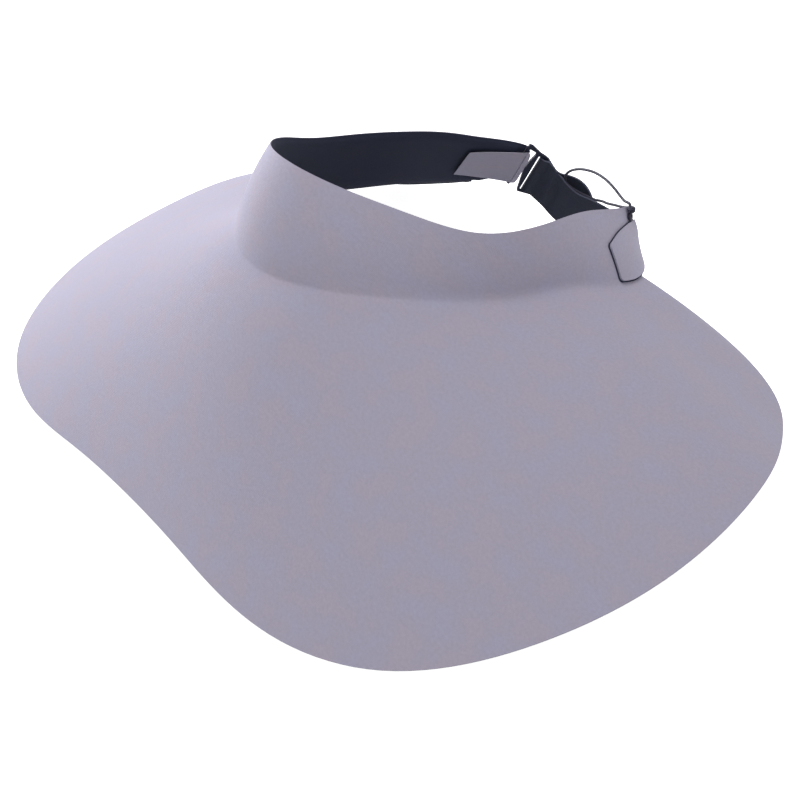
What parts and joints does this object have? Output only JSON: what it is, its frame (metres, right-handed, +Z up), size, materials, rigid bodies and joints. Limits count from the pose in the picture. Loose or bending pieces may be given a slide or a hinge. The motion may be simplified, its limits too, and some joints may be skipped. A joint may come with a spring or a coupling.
{
  "type": "open-top sun hat",
  "caption": "Open-top sun hat: a very wide curved brim and a standing collar in one moulded sheet, closed at the back by a strap, a slider buckle and an elastic storage loop.",
  "frame": {"origin": "on the head's axis, in the plane that the hat rests on", "axes": "+Z up along the head's axis, -Y out of the hat's front, +X towards the wearer's left"},
  "size_m": [0.462, 0.3084, 0.1409],
  "materials": {
    "laminate": "matt knit face on thin foam, lavender",
    "lining_knit": "matt black knit",
    "webbing": "soft black stretch webbing",
    "moulded_plastic": "black, satin",
    "tab_laminate": "matt knit face, lavender with a black edge",
    "elastic_cord": "braided, dark"
  },
  "bodies": {
    "root": {"shell": "laminate", "lining": "lining_knit", "strap": "webbing", "buckle": "moulded_plastic", "arm_tab": "tab_laminate", "cord_eyelet": "elastic_cord", "cord_knot": "elastic_cord", "loop_cord": "elastic_cord"}
  },
  "joints": []
}
